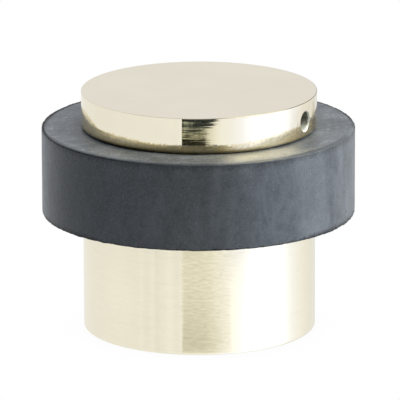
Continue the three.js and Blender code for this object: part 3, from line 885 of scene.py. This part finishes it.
# black card on the lens side: its left edge is cut straight, its right edge is torn, and a dull strip runs across it.
# Only polished metal shows it: its faint glowing streaks and strip are a painted reflection, the dark zone on the cap's
# rim.
CARD_Y, CARD_Z0, CARD_Z1 = -0.060, 0.0178, 0.0250
card_me = bpy.data.meshes.new("lens_card")
card_me.from_pydata([(-0.0154, CARD_Y, CARD_Z0), (0.034, CARD_Y, CARD_Z0), (0.034, CARD_Y, CARD_Z1), (-0.0154, CARD_Y, CARD_Z1)],
                    [], [(0, 1, 2, 3)])
card = bpy.data.objects.new("lens_card", card_me)
bpy.context.scene.collection.objects.link(card)
mat, N = material("lens_card")
tc = N.new("ShaderNodeTexCoord")
sx, sy, sz = N.sep(N.v("SCALE", tc.outputs["Object"], scale=1000.0))
v = N.m("DIVIDE", N.m("SUBTRACT", sz, 18.85), 5.0)                     # 0 at the rim's foot, 1 at its top edge
wob = N.noise(N.xyz(N.m("MULTIPLY", sx, 0.05), N.m("MULTIPLY", sz, 2.3), 4.0), 1.0, 4.0, 0.75)
edge = N.m("ADD", 5.4, N.m("ADD", N.m("MULTIPLY", N.ss(v, 0.62, 1.04), 15.0), N.m("MULTIPLY", N.ss(v, 0.40, 0.0), 5.0)))
edge = N.m("ADD", edge, N.m("MULTIPLY", N.m("SUBTRACT", wob, 0.5), 13.0))
inside = N.ss(sx, N.m("ADD", edge, 2.2), N.m("SUBTRACT", edge, 1.6))
tex = N.noise(N.xyz(N.m("MULTIPLY", sx, 0.13), N.m("MULTIPLY", sz, 3.0), 3.0), 1.0, 4.0, 0.75, 0.6)
blot = N.noise(N.xyz(N.m("MULTIPLY", sx, 0.45), N.m("MULTIPLY", sz, 0.9), 8.0), 1.0, 3.0, 0.6)
stripe = N.m("MULTIPLY", N.ss(v, 0.42, 0.52), N.ss(v, 0.735, 0.68))
grain = N.noise(N.xyz(N.m("MULTIPLY", sx, 1.3), N.m("MULTIPLY", sz, 5.0), 1.0), 1.0, 2.0, 0.6)
lit = N.m("ADD", N.m("MULTIPLY", N.lin(tex, 0.52, 0.68, 0.0, 0.12), N.lin(blot, 0.4, 0.6, 0.2, 1.0)),
          N.m("MULTIPLY", stripe, N.m("MULTIPLY", N.lin(tex, 0.43, 0.58, 0.0, 0.78), N.lin(blot, 0.35, 0.55, 0.4, 1.0))))
lit = N.m("ADD", N.m("MULTIPLY", lit, N.lin(grain, 0.38, 0.62, 0.35, 1.9)), 0.008)
teal = N.ss(v, 0.60, 0.78)
tint = N.mix(teal, (1.0, 0.96, 0.66), (0.66, 0.90, 0.90))
lit = N.m("ADD", lit, N.m("MULTIPLY", teal, 0.010))
em = N.new("ShaderNodeEmission")
N.put(em.inputs["Color"], N.mul(1.0, tint, N.xyz(lit, lit, lit)))
tr = N.new("ShaderNodeBsdfTransparent")
mixs = N.new("ShaderNodeMixShader")
N.put(mixs.inputs[0], inside)
N.t.links.new(tr.outputs[0], mixs.inputs[1])
N.t.links.new(em.outputs[0], mixs.inputs[2])
outn = N.new("ShaderNodeOutputMaterial")
N.t.links.new(mixs.outputs[0], outn.inputs["Surface"])
card_me.materials.append(mat)
card.visible_camera = False
card.visible_diffuse = False
card.visible_shadow = False

# faint dark strip on the floor in front of the drum, in the lens card's shadow: only the metal shows it
strip_me = bpy.data.meshes.new("card_shadow")
strip_me.from_pydata([(-0.014, -0.046, 0), (0.024, -0.046, 0), (0.024, -0.0150, 0), (-0.014, -0.0150, 0)], [], [(0, 1, 2, 3)])
strip = bpy.data.objects.new("card_shadow", strip_me)
bpy.context.scene.collection.objects.link(strip)
strip.location.z = 0.00005
mat, N = material("card_shadow")
tc = N.new("ShaderNodeTexCoord")
sx, sy, sz = N.sep(N.v("SCALE", tc.outputs["Object"], scale=1000.0))
t = N.m("SUBTRACT", N.m("MULTIPLY", sy, -1.0), 16.7)
left = N.m("SUBTRACT", -2.55, N.m("MULTIPLY", t, 0.29))
rightx = N.m("ADD", 4.85, N.m("MULTIPLY", t, 0.606))
across = N.m("DIVIDE", N.m("SUBTRACT", sx, left), N.m("SUBTRACT", rightx, left))          # 0 at its left edge, 1 at its right
inside = N.m("MULTIPLY", N.ss(sx, N.m("SUBTRACT", left, 0.05), N.m("ADD", left, 0.05)),
             N.m("MULTIPLY", N.ss(across, 1.04, 0.97), N.ss(across, 0.30, 0.95, 1.0, 0.34)))
inside = N.m("MULTIPLY", inside, N.m("MULTIPLY", N.ss(t, 26.0, 10.0), N.ss(t, 0.5, 3.0)))
em = N.new("ShaderNodeEmission")
N.put(em.inputs["Color"], (0.42, 0.40, 0.28))
tr = N.new("ShaderNodeBsdfTransparent")
mixs = N.new("ShaderNodeMixShader")
N.put(mixs.inputs[0], N.m("MULTIPLY", inside, 0.60))
N.t.links.new(tr.outputs[0], mixs.inputs[1])
N.t.links.new(em.outputs[0], mixs.inputs[2])
outn = N.new("ShaderNodeOutputMaterial")
N.t.links.new(mixs.outputs[0], outn.inputs["Surface"])
strip_me.materials.append(mat)
strip.visible_camera = False
strip.visible_diffuse = False
strip.visible_shadow = False

# pale patch on the floor to the left, which only the drum's side shows: it glows, a painted reflection lightening the
# drum's left
patch_me = bpy.data.meshes.new("pale_patch")
patch_me.from_pydata([(-0.054, -0.040, 0), (-0.024, -0.040, 0), (-0.024, 0.010, 0), (-0.054, 0.010, 0)], [], [(0, 1, 2, 3)])
patch = bpy.data.objects.new("pale_patch", patch_me)
bpy.context.scene.collection.objects.link(patch)
patch.location.z = 0.00005
mat, N = material("pale_patch")
tc = N.new("ShaderNodeTexCoord")
sx, sy, sz = N.sep(N.v("SCALE", tc.outputs["Object"], scale=1000.0))
off = N.v("LENGTH", N.xyz(N.m("DIVIDE", N.m("ADD", sx, 39.0), 12.0), N.m("DIVIDE", N.m("ADD", sy, 14.0), 22.0), 0.0))
em = N.new("ShaderNodeEmission")
N.put(em.inputs["Color"], (1.0, 1.0, 1.0))
tr = N.new("ShaderNodeBsdfTransparent")
mixs = N.new("ShaderNodeMixShader")
N.put(mixs.inputs[0], N.ss(off, 1.0, 0.15, 0.0, 0.42))
N.t.links.new(tr.outputs[0], mixs.inputs[1])
N.t.links.new(em.outputs[0], mixs.inputs[2])
outn = N.new("ShaderNodeOutputMaterial")
N.t.links.new(mixs.outputs[0], outn.inputs["Surface"])
patch_me.materials.append(mat)
patch.visible_camera = False
patch.visible_diffuse = False
patch.visible_shadow = False

# ------------------------------------------------------- world: the light tent
world = bpy.data.worlds.new("studio")
bpy.context.scene.world = world
world.use_nodes = True
N = Nodes(world.node_tree)
tc = N.new("ShaderNodeTexCoord")
D = tc.outputs["Generated"]
dx, dy, dz = N.sep(D)
az = N.m("MULTIPLY", N.m("ARCTAN2", dx, N.m("MULTIPLY", dy, -1.0)), 180 / math.pi)   # 0 towards the camera, + to the right
el = N.m("MULTIPLY", N.m("ARCSINE", dz), 180 / math.pi)
lp = N.new("ShaderNodeLightPath")

# what the metal sees below the horizon, by azimuth: cream panels on the left, a bright one on the right
ramp = N.new("ShaderNodeValToRGB")
N.put(ramp.inputs[0], N.m("ADD", N.m("DIVIDE", az, 360.0), 0.5))
stops = [(-180, .84), (-175, .93), (-166, .89), (-158, .865), (-120, .86), (-64, .885), (-50, .885), (-33, .90), (-21, .905), (-17, .94), (5, .965), (14, .99),
         (21, .965), (27, .95), (34, .975), (42, 1.02), (50, 1.14), (60, 1.42), (86, 1.42), (96, 1.14), (104, 1.00), (123, .925),
         (143, .84), (165, .82), (180, .84)]
els = ramp.color_ramp.elements
els[0].position, els[0].color = 0.0, (.84 / 2, .84 / 2, .84 / 2, 1)
els[1].position, els[1].color = 1.0, (.84 / 2, .84 / 2, .84 / 2, 1)
for a_deg, val in stops[1:-1]:
    e = els.new(a_deg / 360 + 0.5)
    e.color = (val / 2, val / 2, val / 2, 1)
low = N.m("MULTIPLY", N.sep(ramp.outputs[0])[0], 2.0)
# bright seams between the panels on the left, low down
seam = None
for a_deg, w_deg, amp in ((-61, 3.0, .09), (-56, 5.0, -.045), (-48.5, 2.5, .075), (-43.5, 3.0, -.12), (-30.5, 5.5, .10), (-23, 3.0, -.03), (-19, 2.2, .05)):
    bump_ = N.m("MULTIPLY", N.ss(N.m("ABSOLUTE", N.m("SUBTRACT", az, float(a_deg))), w_deg, 0.4), amp)
    seam = bump_ if seam is None else N.m("ADD", seam, bump_)
low = N.m("ADD", low, N.m("MULTIPLY", seam, N.m("MULTIPLY", N.ss(el, -14.7, -15.2), N.ss(el, -60.0, -45.0))))
# above the horizon: even light all round, dimmer overhead and over the camera, a little brighter at the right
over = N.ss(el, 48.0, 70.0)
front = N.m("MULTIPLY", N.m("MULTIPLY", N.ss(az, -95.0, -60.0), N.ss(az, 30.0, 12.0)), N.ss(el, 1.0, 7.0))
box_az = N.m("MULTIPLY", N.ss(az, 18.0, 40.0), N.ss(az, 120.0, 95.0))
high = N.m("ADD", 0.808, N.m("MULTIPLY", box_az, 0.16))
soft = N.m("MULTIPLY", N.m("MULTIPLY", N.ss(az, 22.0, 46.0), N.ss(az, 118.0, 96.0)), N.m("MULTIPLY", N.ss(el, 22.0, 30.0), N.ss(el, 66.0, 56.0)))
high = N.m("MULTIPLY", high, N.m("SUBTRACT", 1.0, N.m("MULTIPLY", front, 0.28)))
high = N.m("MULTIPLY", high, N.m("SUBTRACT", 1.0, N.m("MULTIPLY", over, 0.06)))
up = N.ss(el, 1.0, 10.0)
# the lens side itself is a shade darker, cut off straight at its left
gap_az = N.m("MULTIPLY", N.ss(az, -16.9, -16.2), N.ss(az, 24.0, 4.0))
gap_el = N.m("MULTIPLY", N.ss(el, -60.0, -40.0), N.ss(el, 6.0, -2.0))
gap = N.m("MULTIPLY", gap_az, gap_el)
# a soft dark opening behind, low down
back = N.m("MULTIPLY", N.ss(N.m("ABSOLUTE", az), 160.0, 172.0), N.ss(el, 4.0, -6.0))
low = N.m("MULTIPLY", low, N.m("SUBTRACT", 1.0, N.m("MULTIPLY", back, 0.05)))
core = N.m("MULTIPLY", gap_az, N.m("MULTIPLY", N.ss(el, -22.0, -16.5), N.ss(el, -9.5, -15.0)))
cool = N.m("MULTIPLY", N.ss(az, 16.0, 54.0), N.ss(az, 132.0, 92.0))
g_low = N.xyz(low, N.m("MULTIPLY", low, N.m("ADD", 1.0, N.m("MULTIPLY", cool, 0.04))), N.m("MULTIPLY", low, N.m("ADD", 1.0, N.m("MULTIPLY", cool, 0.22))))
g_low = N.mul(gap, g_low, (0.985, 0.978, 0.925))
g_low = N.mul(core, g_low, (0.74, 0.71, 0.60))
high_r = N.m("ADD", high, N.m("MULTIPLY", soft, 9.0))
high_g = N.m("ADD", N.m("MULTIPLY", high, 0.983), N.m("MULTIPLY", soft, 8.4))
high_b = N.m("ADD", N.m("MULTIPLY", high, 0.985), N.m("MULTIPLY", soft, 6.6))
g_high = N.xyz(high_r, high_g, high_b)
gloss = N.mix(up, g_low, g_high)

# what lights the rubber: a softbox on the right, a top light, and little from the front left
u = N.v("DOT_PRODUCT", D, tuple(Vector((0.93, 0.22, 0.30)).normalized()))
key = N.ss(u, 0.22, 0.95, 0.0, 1.0)
upw = N.ss(dz, 0.60, 1.0, 0.0, 1.0)
diffv = N.m("ADD", N.m("ADD", 0.10, N.m("MULTIPLY", key, 3.7)), N.m("MULTIPLY", upw, 1.8))
diffc = N.xyz(diffv, diffv, N.m("MULTIPLY", diffv, 1.01))

is_cam = lp.outputs["Is Camera Ray"]
is_diff = lp.outputs["Is Diffuse Ray"]
col = N.mix(is_diff, gloss, diffc)
col = N.mix(is_cam, col, (1.0, 1.0, 1.0))
bg = N.new("ShaderNodeBackground")
N.put(bg.inputs["Color"], col)
bg.inputs["Strength"].default_value = 1.0
wo = N.new("ShaderNodeOutputWorld")
N.t.links.new(bg.outputs[0], wo.inputs["Surface"])


# ---------------------------------------------------------------------- lights
def area(name, loc, target, size, power, colour=(1, 1, 1), glossy=False):
    li = bpy.data.lights.new(name, "AREA")
    li.shape, li.size, li.energy, li.color = "DISK", size, power, colour
    ob = bpy.data.objects.new(name, li)
    ob.location = loc
    ob.rotation_mode = "QUATERNION"
    ob.rotation_quaternion = (Vector(target) - Vector(loc)).to_track_quat("-Z", "Y")
    bpy.context.scene.collection.objects.link(ob)
    ob.visible_glossy = glossy
    ob.visible_camera = False
    return ob


area("key_soft", (0.62, 0.02, 0.28), (0, 0, 0.02), 0.50, 3.6)
area("back_low", (-0.30, 0.52, 0.05), (0, 0, 0.02), 0.20, 11.0)
area("top_soft", (0.0, 0.0, 0.65), (0, 0, 0.02), 0.35, 2.6)

# ---------------------------------------------------------------------- camera
cam_data = bpy.data.cameras.new("camera")
cam = bpy.data.objects.new("camera", cam_data)
bpy.context.scene.collection.objects.link(cam)
bpy.context.scene.camera = cam
D_MM, E, F_PX, SX, SY, RHO, ZT = 1000.0, math.radians(15.127), 6914.1, -0.773, 17.10, 0.002, 16.0
cam_data.sensor_width = 36.0
cam_data.lens = F_PX / 400 * 36.0
cam_data.clip_start, cam_data.clip_end = 0.05, 12.0
C = Vector((0, -D_MM * math.cos(E), ZT + D_MM * math.sin(E)))
fwd = Vector((0, math.cos(E), -math.sin(E)))
right = Vector((1, 0, 0))
up = right.cross(fwd)
r1 = right * math.cos(RHO) - up * math.sin(RHO)
u1 = right * math.sin(RHO) + up * math.cos(RHO)
f2 = (fwd + r1 * (-SX / F_PX) + u1 * (SY / F_PX)).normalized()
r2 = (r1 - f2 * r1.dot(f2)).normalized()
u2 = r2.cross(f2)
M = Matrix((r2, u2, -f2)).transposed()
cam.rotation_mode = "QUATERNION"
cam.rotation_quaternion = M.to_quaternion()
cam.location = C * MM

vs = bpy.context.scene.view_settings
vs.view_transform = "Standard"
vs.look = "None"
vs.exposure, vs.gamma = 0.0, 1.0
